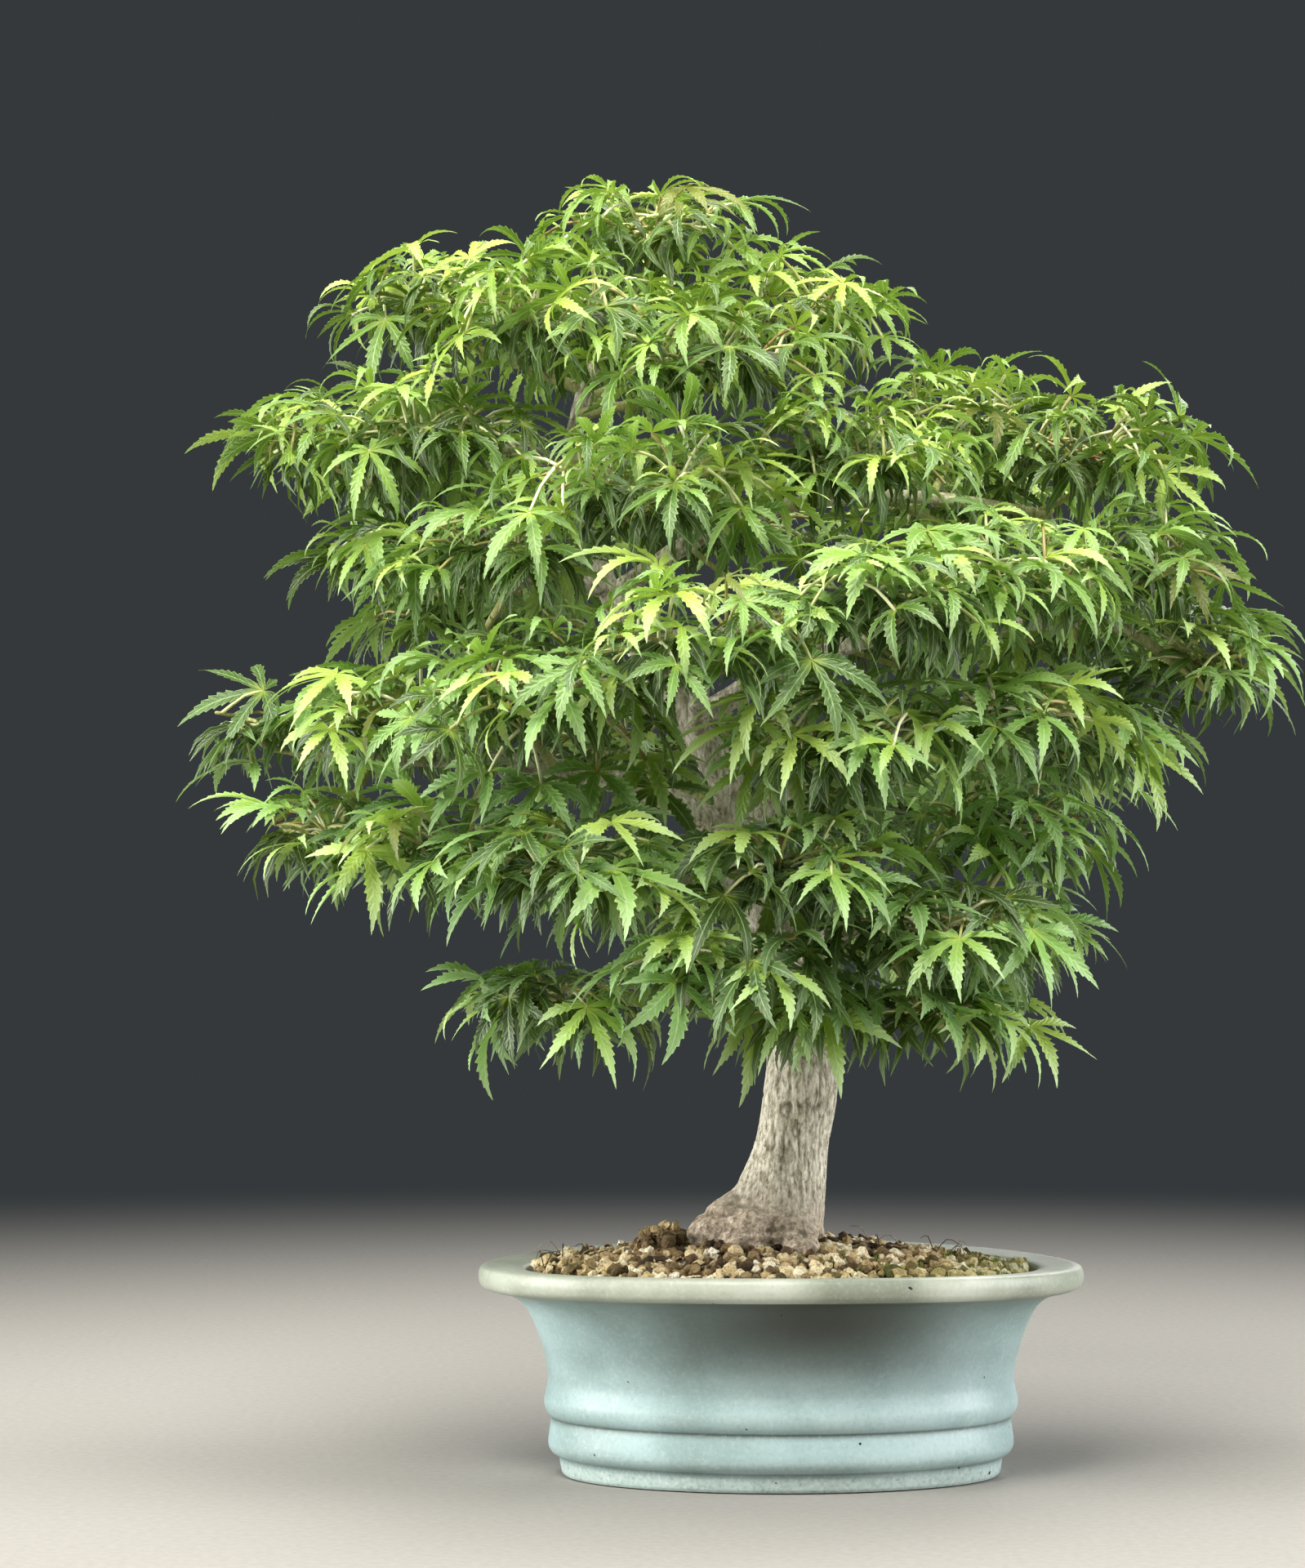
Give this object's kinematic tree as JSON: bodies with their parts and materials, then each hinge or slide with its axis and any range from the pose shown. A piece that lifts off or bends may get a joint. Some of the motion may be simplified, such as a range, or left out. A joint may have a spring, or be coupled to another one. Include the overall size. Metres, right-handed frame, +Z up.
{
  "type": "sharps pygmy japanese maple bonsai",
  "caption": "Potted miniature maple with layered sprays of deeply cut leaves on a curved trunk, in gritty soil in an oval flared celadon pot.",
  "frame": {"origin": "on the surface that the pot stands on, below the middle of the tree and pot together", "axes": "+Z up, +X along the pot's length to the right as seen from the tree's front, and the front faces -Y"},
  "size_m": [0.3957, 0.3011, 0.4355],
  "materials": {
    "glaze": "glossy celadon glaze with small iron specks",
    "grit": "matte fired-clay grit",
    "bark": "rough grey-brown bark",
    "leaf": "satin living leaf",
    "screen": "matte",
    "wire": "satin"
  },
  "bodies": {
    "root": {"pot": "glaze", "drain_screen_left": "screen", "screen_wire_left": "wire", "drain_screen_right": "screen", "screen_wire_right": "wire", "soil": "grit", "trunk_and_branches": "bark", "spray_crown_top": "leaf", "spray_crown_left": "leaf", "spray_crown_right": "leaf", "spray_crown_front_left": "leaf", "spray_crown_front_right": "leaf", "spray_crown_back": "leaf", "spray_high_left_tip": "leaf", "spray_high_left_front": "leaf", "spray_high_left_back": "leaf", "spray_high_front": "leaf", "spray_high_right_near": "leaf", "spray_high_right_top": "leaf", "spray_high_right_tip": "leaf", "spray_high_right_back": "leaf", "spray_high_back": "leaf", "spray_mid_left_tip": "leaf", "spray_mid_left_front": "leaf", "spray_mid_left_back": "leaf", "spray_mid_front": "leaf", "spray_mid_right_front": "leaf", "spray_mid_right_middle": "leaf", "spray_mid_right_outer": "leaf", "spray_mid_right_tip": "leaf", "spray_mid_right_back": "leaf", "spray_mid_back_right": "leaf", "spray_low_left_tip": "leaf", "spray_low_left_front": "leaf", "spray_low_left_middle": "leaf", "spray_low_left_back": "leaf", "spray_low_middle": "leaf", "spray_low_right_tip": "leaf", "spray_low_right_front": "leaf", "spray_low_right_back": "leaf", "spray_low_back_left": "leaf", "spray_low_back_right": "leaf", "spray_hanging_left_tip": "leaf", "spray_hanging_left_front": "leaf", "spray_hanging_middle": "leaf", "spray_lower_middle": "leaf", "spray_lower_right_outer": "leaf", "spray_lower_right_front": "leaf", "spray_lower_right_side": "leaf", "spray_lower_back_left": "leaf", "spray_lower_back_right": "leaf", "spray_lowest_right": "leaf", "spray_lowest_left": "leaf", "spray_lowest_front": "leaf", "spray_trunk_front": "leaf"}
  },
  "joints": []
}
